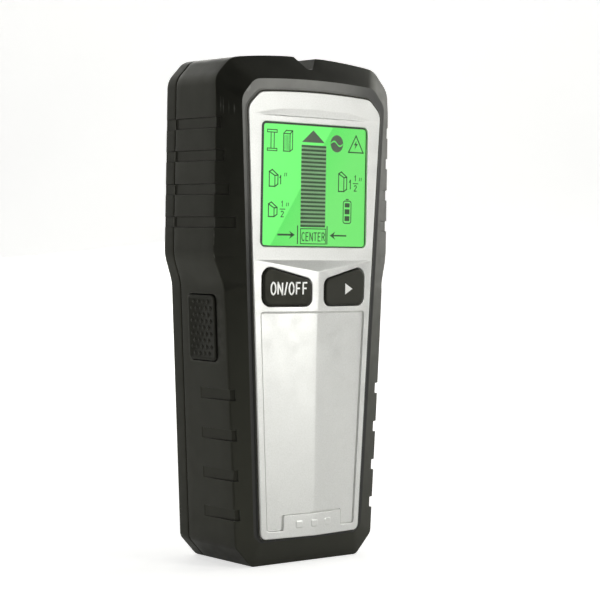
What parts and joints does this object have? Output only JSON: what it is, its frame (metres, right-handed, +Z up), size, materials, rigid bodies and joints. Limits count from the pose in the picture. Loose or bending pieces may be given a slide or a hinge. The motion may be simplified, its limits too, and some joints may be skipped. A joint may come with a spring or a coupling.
{
  "type": "stud finder",
  "caption": "Handheld wall scanner with a backlit display in a silver front plate, push keys, a side scan key, a marking notch and a sliding battery door.",
  "frame": {"origin": "centre of the flat bottom end of the handle, midway between the front and the wall side", "axes": "+Z up the tool towards the marking notch, -Y the front with the display, +Y the side that glides on the wall, +X right seen from the front"},
  "size_m": [0.0746, 0.0366, 0.167],
  "materials": {
    "black_plastic": "satin",
    "silver_paint": "satin",
    "clear_window": "gloss",
    "lcd_green": "gloss",
    "light_guide": "gloss",
    "white_plastic": "satin",
    "black_rubber": "matte",
    "led_body": "gloss",
    "circuit_board": "satin",
    "key_plastic": "satin",
    "steel": "satin",
    "chip_black": "matte",
    "capacitor_sleeve": "gloss",
    "copper": "satin",
    "ribbon_grey": "satin",
    "battery_jacket": "gloss",
    "red_insulation": "satin",
    "foam": "matte",
    "felt": "matte"
  },
  "bodies": {
    "housing": {"front_shell": "black_plastic", "rear_shell": "black_plastic", "face_plate": "silver_paint", "display_window": "clear_window", "lcd_glass": "lcd_green", "lcd_backlight": "light_guide", "lcd_frame": "white_plastic", "zebra_strip": "black_rubber", "backlight_leds": "led_body", "main_board": "circuit_board", "key_switches": "steel", "scan_switch": "steel", "processor_chip": "chip_black", "capacitors": "capacitor_sleeve", "buzzer": "chip_black", "sensor_board": "circuit_board", "sensor_electrodes": "copper", "metal_coil": "copper", "coil_former": "white_plastic", "sensor_cable": "ribbon_grey", "cable_sockets": "white_plastic", "battery_case": "battery_jacket", "battery_terminals": "steel", "snap_connector": "black_rubber", "snap_contacts": "steel", "wire_red": "red_insulation", "wire_black": "black_rubber", "battery_pad": "foam", "glide_pads": "felt", "casing_screws": "steel", "board_screws": "steel"},
    "power_key": {"power_button": "key_plastic", "power_plunger": "key_plastic"},
    "mode_key": {"mode_button": "key_plastic", "mode_plunger": "key_plastic"},
    "scan_key": {"scan_button": "key_plastic", "scan_plunger": "key_plastic"},
    "door": {"battery_door": "black_plastic"}
  },
  "joints": [
    {"name": "power_press", "type": "slide", "parent": "housing", "child": "power_key", "axis": [0, 1, 0], "range_m": [0, 0.0007], "stiffness_N_per_m": 150, "springref_m": -0.0015},
    {"name": "mode_press", "type": "slide", "parent": "housing", "child": "mode_key", "axis": [0, 1, 0], "range_m": [0, 0.0007], "stiffness_N_per_m": 150, "springref_m": -0.0015},
    {"name": "scan_press", "type": "slide", "parent": "housing", "child": "scan_key", "axis": [0.9983, 0, 0.0575], "range_m": [0, 0.0008], "stiffness_N_per_m": 150, "springref_m": -0.0015},
    {"name": "door_slide", "type": "slide", "parent": "housing", "child": "door", "axis": [0, 0, -1], "range_m": [0, 0.068]}
  ]
}
